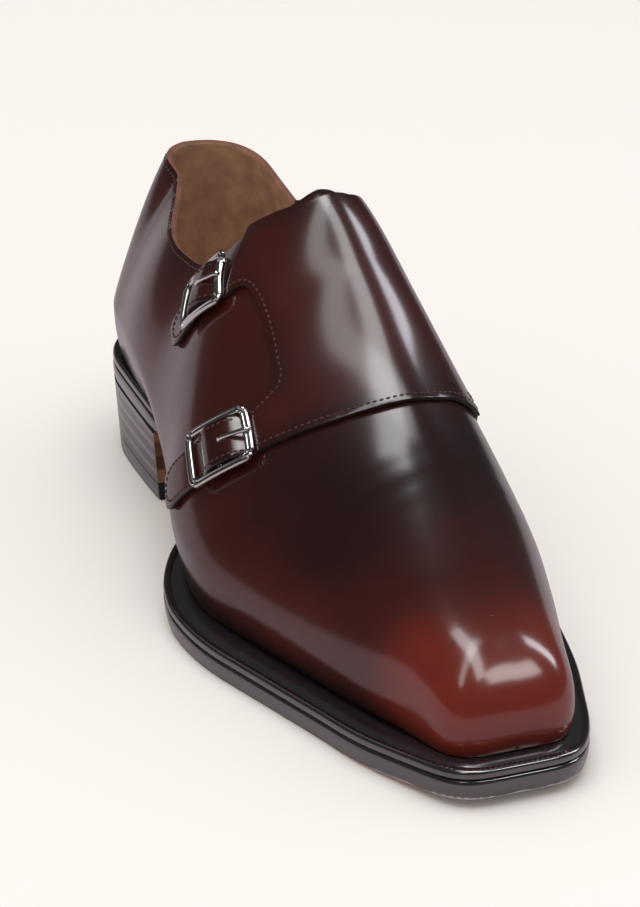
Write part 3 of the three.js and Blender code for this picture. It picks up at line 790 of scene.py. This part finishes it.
def upper_outline():
    """The quarters and vamp in one: heel to toe, with the collar and the slot over the instep."""
    start, end = LAST_PLAN.start, LAST_PLAN.end
    low = TUCK * GIRTH
    ridge = LAST["ridge"](130)
    notch = rounded([at_across(along, ridge + across) for across, along in SLOT])
    corners = [(start, -low), (end, -low), (end, low), (start, low)]
    medial, lateral = collar_edge(MEDIAL, start, SLOT_START), collar_edge(LATERAL, SLOT_START, start)
    return [*corners, *medial, *notch, *lateral]


def tongue_outline():
    """The tongue: under the flap to the vamp, and a little above the flap's collar."""
    ridge = LAST["ridge"](130)
    sides = rounded([at_across(along, ridge + across) for across, along in TONGUE_SIDES])
    outer = collar_edge(LATERAL, 106, COLLAR_FRONT - 0.2, "tongue ")
    inner = collar_edge(MEDIAL, COLLAR_FRONT - 0.2, 108, "tongue ")
    return [*sides, *outer, *inner]


def on_skin(line):
    """A line in run and girth, laid on the skin."""
    return [skin(run, girth) for run, girth in line]


# ------------------------------------------------------------------ settings

class ShoeLeather(bpy.types.PropertyGroup):
    panel_cell: FloatProperty(name="Panel cell", description="Spacing of the cuts that divide a panel, in mm",
                              default=2.4, min=1, max=8)
    stitch_spacing: FloatProperty(name="Stitch spacing", description="Distance from stitch to stitch, in mm",
                                  default=2.1, min=1.5, max=6)
    stitch_inset: FloatProperty(name="Stitch inset", description="Distance from the leather's edge, in mm",
                                default=1.8, min=1, max=6)
    dark: FloatVectorProperty(name="Dark", description="Patina at the throat and seams", subtype="COLOR",
                              size=3, min=0, max=1, default=(0.008, 0.002, 0.002))
    oxblood: FloatVectorProperty(name="Oxblood", description="Patina in the shade", subtype="COLOR",
                                 size=3, min=0, max=1, default=(0.024, 0.004, 0.0035))
    red_brown: FloatVectorProperty(name="Red brown", description="Patina of the quarters", subtype="COLOR",
                                   size=3, min=0, max=1, default=(0.06, 0.0075, 0.005))
    bright: FloatVectorProperty(name="Bright", description="Patina of the toe", subtype="COLOR",
                                size=3, min=0, max=1, default=(0.15, 0.0145, 0.007))


class ShoeStage(bpy.types.PropertyGroup):
    lens: FloatProperty(name="Lens", description="The camera's focal length", default=214, unit="CAMERA")
    key: FloatProperty(name="Key light", description="Strength of the overhead boxes", unit="POWER",
                       default=5.4)
    window: FloatProperty(name="Window light", description="Strength of the boxes in front", unit="POWER",
                          default=5)
    soft: FloatProperty(name="Soft light", description="Strength of the large box overhead", unit="POWER",
                        default=30)
    fill: FloatProperty(name="Fill", description="Strength of the room's light", default=0.72)
    sheen: FloatProperty(name="Sheen", description="Strength of the room where leather mirrors it",
                         default=0.05)


# ------------------------------------------------------------------ operators

CREASES = [(200, 0.06, 3.4), (208, 0.12, 3.0), (217, 0.08, 2.6)]  # along, depth, width


def crease_lift(along):
    """The soft troughs that walking leaves across the vamp, just ahead of the flap."""
    return -sum(depth * hump(along, spot, width) for spot, depth, width in CREASES)


def tongue_lift(along):
    """The tongue lies this far inside the upper's outer face."""
    return -2.3


class SHOE_OT_upper(bpy.types.Operator):
    """Quarters, vamp and tongue"""
    bl_idname = "shoe.upper"
    bl_label = "Upper and tongue"

    def execute(self, context):
        cell = shoe(context).panel_cell
        body = panel_mesh(upper_outline(), cell, crease_lift, patina)
        looks = [patinated_calf(), simple("lining"), simple("collar edge")]
        give_wall(finish_piece(body, "quarters_and_vamp", looks, "calf", ["upper"]), 2.0, 0.3)
        tongue = panel_mesh(tongue_outline(), cell, tongue_lift, flap_patina)
        give_wall(finish_piece(tongue, "tongue_leather", leather_set(), "calf", ["tongue"]), 1.7, 0.3)
        return {"FINISHED"}


def flap_lift(along):
    """The flap's outer face: its own leather thick at the front, and skived flush towards the heel."""
    return 0.4 + 1.5 * smoothstep(along, 60, 96)


def flap_mesh(context):
    """The flap's outer face."""
    return panel_mesh(sum(flap_edges().values(), []), shoe(context).panel_cell, flap_lift, flap_patina)


class SHOE_OT_flap(bpy.types.Operator):
    """The strap flap, one with the inner quarter"""
    bl_idname = "shoe.flap"
    bl_label = "Strap flap"

    def execute(self, context):
        give_wall(finish_piece(flap_mesh(context), "flap", leather_set(), "calf", ["strap_flap"]), 1.5, 0.35)
        return {"FINISHED"}


def strap_lift(down):
    """How far a strap stands off the wall: it rises over the buckle's middle bar."""
    return 0.4 + 3.6 * smoothstep(down, -11.5, -4) * (1 - smoothstep(down, 1, 10))


def ribbon(strap, start, reach, half, lift, pointed):
    """A strip of leather lying in a strap's coordinates."""
    bm = bmesh.new()
    rows = int((reach - start) / 0.8)
    bmesh.ops.create_grid(bm, x_segments=rows, y_segments=12, size=1)
    tone = bm.verts.layers.float.new("patina")
    for vert in bm.verts:
        down = start + (reach - start) * (vert.co.x + 1) / 2
        tip = clamp((down - (reach - 6)) / 6) if pointed else 0
        across = vert.co.y * half * (1 - 0.45 * tip**2.4)
        edge = min(half - abs(across), reach - down)
        vert[tone] = 0.5 - 0.2 * math.exp(-((edge / 2.2) ** 2)) - 0.15 * hump(down, 0, 5)
        vert.co = strap.at(down, across, lift(down) - 0.25 * smoothstep(1.2 - edge, 0, 1.2))
    bm.normal_update()
    bm.faces.ensure_lookup_table()
    face = bm.faces[len(bm.faces) // 2]
    if face.normal.x > 0:
        bmesh.ops.reverse_faces(bm, faces=bm.faces[:])
        bm.normal_update()
    return bm


class SHOE_OT_straps(bpy.types.Operator):
    """Both straps, with the leather tabs that hold their buckles"""
    bl_idname = "shoe.straps"
    bl_label = "Straps"

    def execute(self, context):
        straps = (("upper_strap", UPPER_STRAP, UPPER_REACH), ("lower_strap", LOWER_STRAP, LOWER_REACH))
        for name, strap, reach in straps:
            leather = ribbon(strap, LOBE_END - 0.5, reach, STRAP_HALF,
                             lambda down: strap_lift(down) + STRAP_THICK, True)
            piece = finish_piece(leather, name + "_leather", leather_set(), "calf", [name])
            give_wall(piece, STRAP_THICK, 0.3)
            tab = ribbon(strap, -4.2, 15, TAB_HALF, lambda down: 0.35 + 3.0 * hump(down, 0, 2.6), False)
            finish_piece(tab, name + "_tab", leather_set(), "calf")
        return {"FINISHED"}


FRAME_SECTION = [
    (-1.15, -0.8), (1.15, -0.8), (1.3, 0.0), (1.1, 0.6), (0.7, 0.82), (0.28, 0.66), (0, 0.34), (-0.28, 0.66),
    (-0.7, 0.82), (-1.1, 0.6), (-1.3, 0.0),
]


FRAME_LIFT, BAR_LIFT = 3.45, 3.1
PRONG = [
    (-1.4, 0, 4.8), (-2.4, 0, 6.0), (-4.0, 0, 6.3), (-6.4, 0, 5.9), (-8.6, 0, 5.4), (-10.9, 0, 5.0),
    (-12.2, 0, 4.6),
]


def frame_path():
    """A buckle's frame: a rounded oblong, in a strap's coordinates, bowed to the foot."""
    corner = 2.6
    path = []
    for quarter, (endways, sideways) in enumerate(((1, 1), (-1, 1), (-1, -1), (1, -1))):
        for step in range(5):
            turn = (quarter + step / 4) * math.pi / 2
            path.append((endways * (FRAME_LENGTH - corner) + corner * math.cos(turn),
                         sideways * (FRAME_WIDTH - corner) + corner * math.sin(turn)))
    dense = rounded([(*p, 0) for p in path + path[:1]], 2.4)[:-1]
    return [(down, across, FRAME_LIFT) for down, across, _ in dense]


def round_section(radius, count=10):
    """A round bar's section."""
    return [(radius * math.cos(i / count * 2 * math.pi), radius * math.sin(i / count * 2 * math.pi))
            for i in range(count)]


class SHOE_OT_buckles(bpy.types.Operator):
    """Buckle frames with their middle bars and prongs"""
    bl_idname = "shoe.buckles"
    bl_label = "Buckles"

    def execute(self, context):
        middle_bar = [(0, across, BAR_LIFT) for across in (-FRAME_WIDTH, -6, -3, 0, 3, 6, FRAME_WIDTH)]
        for name, strap in (("upper_buckle", UPPER_STRAP), ("lower_buckle", LOWER_STRAP)):
            bm = bmesh.new()
            bar_mesh(bm, strap, frame_path(), FRAME_SECTION, True)
            bar_mesh(bm, strap, middle_bar, round_section(0.8), False)
            bar_mesh(bm, strap, PRONG, round_section(0.75), False)
            finish_piece(bm, name + "_frame", [nickel()], "buckle", [name])
        return {"FINISHED"}


def constant(value):
    """The same number all along the shoe."""
    return lambda along: value


def above(height, lift):
    """A height, raised by so much all along the shoe."""
    return lambda along: height(along) + lift


SOLE_COLUMNS = (SOLE["lateral"], SOLE["medial"])
BREAST_SPOT = Vector((0, (HEEL_CENTRE - 69.5) * MM, 0))
BREAST_NORMAL = Vector((0.05, -1, 0)).normalized()


def cut_at_breast(bm, keep_front, gap=0.15):
    """Keeps what lies in front of the heel's breast, or behind it, and closes the cut."""
    shift = BREAST_NORMAL * gap * MM * (1 if keep_front else -1)
    cut = bmesh.ops.bisect_plane(bm, geom=bm.verts[:] + bm.edges[:] + bm.faces[:], dist=1e-6,
                                 plane_co=BREAST_SPOT + shift, plane_no=BREAST_NORMAL,
                                 clear_inner=keep_front, clear_outer=not keep_front)
    edges = [item for item in cut["geom_cut"] if isinstance(item, bmesh.types.BMEdge)]
    filled = bmesh.ops.edgenet_fill(bm, edges=edges)["faces"]
    bmesh.ops.recalc_face_normals(bm, faces=bm.faces)
    return filled


def edge_ring():
    """The welt's and rand's ring, with its rounded edge and the groove inside it."""
    def width(along):
        return 9 + 8 * smoothstep(along, 128, 160)
    return plate_mesh(SOLE_PLAN, SOLE_COLUMNS, [
        (width, above(sole_top, GAP)),
        (constant(0.6), above(sole_top, GAP)),
        (constant(0.1), above(sole_top, GAP + 0.5)),
        (constant(0.0), above(sole_top, GAP + 1.4)),
        (constant(0.1), above(sole_top, GAP + 2.2)),
        (constant(0.6), above(sole_top, GAP + WELT)),
        (constant(2.2), above(sole_top, GAP + WELT)),
        (constant(2.6), above(sole_top, GAP + WELT - 0.5)),
        (constant(3.0), above(sole_top, GAP + WELT)),
        (width, above(sole_top, GAP + WELT)),
    ], ring_shaped=True)


class SHOE_OT_bottom(bpy.types.Operator):
    """Outsole, welt, heel and sock"""
    bl_idname = "shoe.bottom"
    bl_label = "Sole and heel"

    def execute(self, context):
        edge = simple("edge")
        bevel = SOLE["bevel"]
        sole = plate_mesh(SOLE_PLAN, SOLE_COLUMNS, [
            (lambda along: bevel(along) + 0.5, underside),
            (bevel, above(underside, 0.2)),
            (lambda along: bevel(along) * 0.4, above(underside, 1.6)),
            (lambda along: bevel(along) * 0.1, above(underside, 3.0)),
            (constant(0.0), above(underside, 4.2)),
            (constant(0.15), above(underside, 5.6)),
            (constant(0.6), sole_top),
        ])
        looks = [edge, simple("sole leather")]
        piece = finish_piece(sole, "outsole_leather", looks, "sole_edge", ["outsole"])
        for polygon in piece.data.polygons:
            polygon.material_index = int(polygon.normal.z < -0.9)
        welt = edge_ring()
        cut_at_breast(welt, True)
        finish_piece(welt, "welt_strip", [edge], "welt", ["welt"])
        rand = edge_ring()
        cut_at_breast(rand, False)
        finish_piece(rand, "heel_rand_strip", [edge], "welt", ["heel_rand"])
        self.heel_lifts(edge)
        for name, material in (("toe_plate", nickel()), ("insole", simple("lining"))):
            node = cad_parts[name]
            node.data.materials.clear()
            node.data.materials.append(material)
        return {"FINISHED"}

    def heel_lifts(self, edge):
        """The stack of lifts and the top piece under it."""
        def lean(height):
            return 0.3 + 1.8 * (1 - height / SOLE["underside"](0))
        top_piece, lifts = 6.0, 4
        layers = []
        low, high = top_piece + GAP, 25.9
        for i in range(lifts):
            bottom, top = low + (high - low) * i / lifts, low + (high - low) * (i + 1) / lifts
            for height, extra in ((bottom, 0.0), (top - 0.12, 0), (top, 0.02)):
                layers.append((constant(lean(height) + extra), self.sloped(height, high)))
        pieces = [("heel_lifts", layers, "heel", "heel_stack", simple("heel leather"))]
        layers = [(constant(lean(0) + 0.5), constant(0)), (constant(lean(0)), constant(0.5)),
                  (constant(lean(5.6)), constant(top_piece - 0.3)),
                  (constant(lean(6) + 0.3), constant(top_piece))]
        pieces.append(("heel_tread", layers, "top_piece", "heel_top_piece", simple("rubber")))
        for name, layers, slot, node, face_material in pieces:
            bm = plate_mesh(SOLE_PLAN, SOLE_COLUMNS, layers)
            cut_at_breast(bm, False, 0.0)
            bm.normal_update()
            for face in bm.faces:
                depth = (face.calc_center_median() - BREAST_SPOT).dot(BREAST_NORMAL)
                face.material_index = int(abs(depth) < 0.3 * MM)
                face.smooth = not face.material_index
            finish_piece(bm, name, [edge, face_material], slot, [node], smooth=False)

    def sloped(self, height, high):
        """A lift's height: level, but for the topmost, which follows the sole's hollow."""
        if height < high - 1:
            return constant(height)
        return lambda along: min(height, underside(along) - 0.1) - (high - height)


class SHOE_OT_stitches(bpy.types.Operator):
    """Rows of stitches along the edges"""
    bl_idname = "shoe.stitches"
    bl_label = "Stitching"

    def execute(self, context):
        looks = shoe(context)
        flap = flap_mesh(context)
        edges = flap_edges()
        bm = bmesh.new()
        for name in ("throat", "outer", "inner"):
            line = on_skin(edges[name])
            stitch_row(bm, *inset_line(flap, line, looks.stitch_inset, looks.stitch_spacing))
        corner = on_skin(edges["throat"][:10])
        for inset in (4.6, 6.0):
            stitch_row(bm, *inset_line(flap, corner, inset, looks.stitch_spacing))
        finish_piece(bm, "flap_stitching", [simple("thread")], "calf")
        flap.free()
        self.straps(looks)
        self.collar(looks)
        self.tongue(looks)
        return {"FINISHED"}

    def straps(self, looks):
        bm = bmesh.new()
        for strap, tip in ((UPPER_STRAP, UPPER_REACH - 2), (LOWER_STRAP, LOWER_REACH - 2)):
            path = rounded([(-9, 5.7), (0, 5.7), (tip - 7, 5.7), (tip - 3, 5), (tip - 0.7, 3.2), (tip, 0),
                            (tip - 0.7, -3.2), (tip - 3, -5), (tip - 7, -5.7), (0, -5.7), (-9, -5.7)])
            line = [strap.at(down, across, strap_lift(down) + STRAP_THICK + 0.02) for down, across in path]
            points = spaced(line, looks.stitch_spacing * MM)
            normals = [wall_normal(HEEL_CENTRE - p.y / MM, p.z / MM) for p in points]
            stitch_row(bm, points, normals)
        finish_piece(bm, "strap_stitching", [simple("thread")], "calf")

    def tongue(self, looks):
        leather = panel_mesh(tongue_outline(), looks.panel_cell, tongue_lift, flap_patina)
        line = collar_edge(LATERAL, 108, COLLAR_FRONT - 0.2, "tongue ")
        line += collar_edge(MEDIAL, COLLAR_FRONT - 0.2, 110, "tongue ")[1:]
        bm = bmesh.new()
        for inset in (1.6, 5.0):
            stitch_row(bm, *inset_line(leather, on_skin(line), inset, looks.stitch_spacing))
        finish_piece(bm, "tongue_stitching", [simple("thread")], "calf")
        leather.free()

    def collar(self, looks):
        body = panel_mesh(upper_outline(), looks.panel_cell, lambda along: 0.0, patina)
        bm = bmesh.new()
        for side in (LATERAL, MEDIAL):
            end = 98 if side == LATERAL else 50
            line = on_skin(collar_edge(side, LAST_PLAN.start + 0.5, end))
            stitch_row(bm, *inset_line(body, line, looks.stitch_inset, looks.stitch_spacing))
        finish_piece(bm, "collar_stitching", [simple("thread")], "calf")
        body.free()


class SHOE_OT_wheeling(bpy.types.Operator):
    """The fine marks wheeled round the welt"""
    bl_idname = "shoe.wheeling"
    bl_label = "Welt wheeling"

    def execute(self, context):
        bm = bmesh.new()
        line = []
        count = 900
        runs = [SOLE_PLAN.start + (SOLE_PLAN.end - SOLE_PLAN.start) * i / count for i in range(count + 1)]
        for run, side in [(run, LATERAL) for run in runs] + [(run, MEDIAL) for run in reversed(runs)]:
            along, share, pivot = SOLE_PLAN.station(run)
            keel = (SOLE["medial"](along) - SOLE["lateral"](along)) / 2
            half = SOLE["lateral" if side < 0 else "medial"](along) - 1.4
            tip = SOLE_PLAN.back if along < pivot else SOLE_PLAN.front
            spot = along - (1.4 * (along - pivot) / abs(tip - pivot) if along != pivot else 0)
            line.append(place(keel + share * (side * half - keel), spot, sole_top(spot) + GAP + WELT))
        points = spaced(line, 1.6 * MM)
        up = Vector((0, 0, 1))
        for a, b in zip(points, points[1:]):
            forward = (b - a).normalized()
            side = up.cross(forward).normalized()
            turn = Matrix((forward, side, up)).transposed().to_4x4()
            size = Matrix.Diagonal((1.0 * MM, 1.5 * MM, 0.5 * MM, 1))
            bmesh.ops.create_cube(bm, size=1, matrix=Matrix.Translation(a) @ turn @ size)
        finish_piece(bm, "welt_wheeling", [simple("edge")], "welt", smooth=False)
        return {"FINISHED"}


def area_light(name, energy, size, spot, aim, color=(1, 1, 1), size_y=None, mirrored=True):
    """A box light: one that only polished surfaces mirror, or one that only lights."""
    data = bpy.data.lights.new(name, "AREA")
    data.energy = energy
    data.color = color
    data.shape = "RECTANGLE"
    data.size = size
    data.size_y = size_y or size
    light = bpy.data.objects.new(name, data)
    light.location = spot
    light.rotation_euler = (Vector(aim) - Vector(spot)).to_track_quat("-Z", "Y").to_euler()
    light.visible_diffuse = not mirrored
    light.visible_glossy = mirrored
    bpy.context.scene.collection.objects.link(light)


CAMERA_SPOT = Vector((-0.4076, -1.1179, 0.5195))
CAMERA_AIM = Vector((-0.002, -0.118, 0.046))
# The paper's own colour, and a painted reflection colour, dimmer and lilac, that only glossy rays see
PAPER, PAPER_PAINTED_REFLECTION = (0.97, 0.92, 0.885), (0.5, 0.43, 0.46)


def paper():
    """The backdrop's paper, with a painted reflection: glossy rays see it as a dim lilac colour, so polished
    leather mirrors it dimly.
    """
    material, tree, shader = new_material("paper", PAPER, 0.85)
    path = add_node(tree, "ShaderNodeLightPath")
    # Painted reflection: rays mirrored off the leather get the dim lilac colour instead of the paper's own
    painted_reflection_tint = add_node(tree, "ShaderNodeMix", data_type="RGBA")
    painted_reflection_tint.inputs[6].default_value = (*PAPER, 1)
    painted_reflection_tint.inputs[7].default_value = (*PAPER_PAINTED_REFLECTION, 1)
    tree.links.new(path.outputs["Is Glossy Ray"], painted_reflection_tint.inputs[0])
    tree.links.new(painted_reflection_tint.outputs[2], shader.inputs["Base Color"])
    return material


class SHOE_OT_stage(bpy.types.Operator):
    """Floor, lights and camera"""
    bl_idname = "shoe.stage"
    bl_label = "Stage"

    def execute(self, context):
        settings = context.scene.shoe_stage
        bm = bmesh.new()
        bmesh.ops.create_grid(bm, x_segments=1, y_segments=1, size=12)
        mesh = bpy.data.meshes.new("floor")
        bm.to_mesh(mesh)
        bm.free()
        mesh.materials.append(paper())
        floor = bpy.data.objects.new("floor", mesh)
        context.scene.collection.objects.link(floor)
        aim = (0, -0.12, 0.05)
        area_light("left box", settings.key * 0.5, 0.24, (-0.24, -0.3, 1.2), aim, size_y=1.26)
        area_light("right box", settings.key, 0.28, (0.05, -0.3, 1.2), aim, size_y=1.26)
        area_light("side box", settings.window, 0.25, (0.95, -0.2, 0.85), aim, (0.93, 0.93, 1.0), 0.8)
        area_light("front box", settings.window * 0.4, 0.34, (0.5, -0.85, 0.98), aim)
        area_light("soft box", settings.soft, 2.4, (-0.3, -0.4, 2.6), aim, mirrored=False)
        world = bpy.data.worlds.new("room")
        world.use_nodes = True
        tree = world.node_tree
        background = tree.nodes["Background"]
        background.inputs["Color"].default_value = (1, 0.985, 0.965, 1)
        path = add_node(tree, "ShaderNodeLightPath")
        strength = add_node(tree, "ShaderNodeMapRange")
        strength.inputs["To Min"].default_value = settings.fill
        strength.inputs["To Max"].default_value = settings.sheen
        tree.links.new(path.outputs["Is Glossy Ray"], strength.inputs["Value"])
        tree.links.new(strength.outputs["Result"], background.inputs["Strength"])
        context.scene.world = world
        data = bpy.data.cameras.new("camera")
        data.sensor_fit = "HORIZONTAL"
        data.sensor_width = 36
        data.lens = settings.lens
        data.clip_end = 60
        camera = bpy.data.objects.new("camera", data)
        camera.location = CAMERA_SPOT
        camera.rotation_euler = (CAMERA_AIM - CAMERA_SPOT).to_track_quat("-Z", "Y").to_euler()
        context.scene.collection.objects.link(camera)
        context.scene.camera = camera
        context.scene.view_settings.view_transform = "Standard"
        return {"FINISHED"}


class SHOE_PT_panel(bpy.types.Panel):
    """Lists the shoe's parts and settings"""
    bl_idname = "SHOE_PT_panel"
    bl_label = "Monk strap shoe"
    bl_space_type = "VIEW_3D"
    bl_region_type = "UI"
    bl_category = "Shoe"

    def draw(self, context):
        for group in (context.scene.shoe_leather, context.scene.shoe_stage):
            for name in group.bl_rna.properties.keys():
                if name not in ("rna_type", "name"):
                    self.layout.prop(group, name)
        for operator in OPERATORS:
            self.layout.operator(operator.bl_idname)


OPERATORS = (SHOE_OT_upper, SHOE_OT_flap, SHOE_OT_straps, SHOE_OT_buckles, SHOE_OT_bottom, SHOE_OT_stitches,
             SHOE_OT_wheeling, SHOE_OT_stage)
CLASSES = (ShoeLeather, ShoeStage, *OPERATORS, SHOE_PT_panel)


def register():
    for item in CLASSES:
        bpy.utils.register_class(item)
    bpy.types.Scene.shoe_leather = PointerProperty(type=ShoeLeather)
    bpy.types.Scene.shoe_stage = PointerProperty(type=ShoeStage)


def unregister():
    del bpy.types.Scene.shoe_stage
    del bpy.types.Scene.shoe_leather
    for item in reversed(CLASSES):
        bpy.utils.unregister_class(item)


def main():
    register()
    bpy.ops.shoe.upper()
    bpy.ops.shoe.flap()
    bpy.ops.shoe.straps()
    bpy.ops.shoe.buckles()
    bpy.ops.shoe.bottom()
    bpy.ops.shoe.stitches()
    bpy.ops.shoe.wheeling()
    bpy.ops.shoe.stage()


if __name__ == "__main__":
    main()
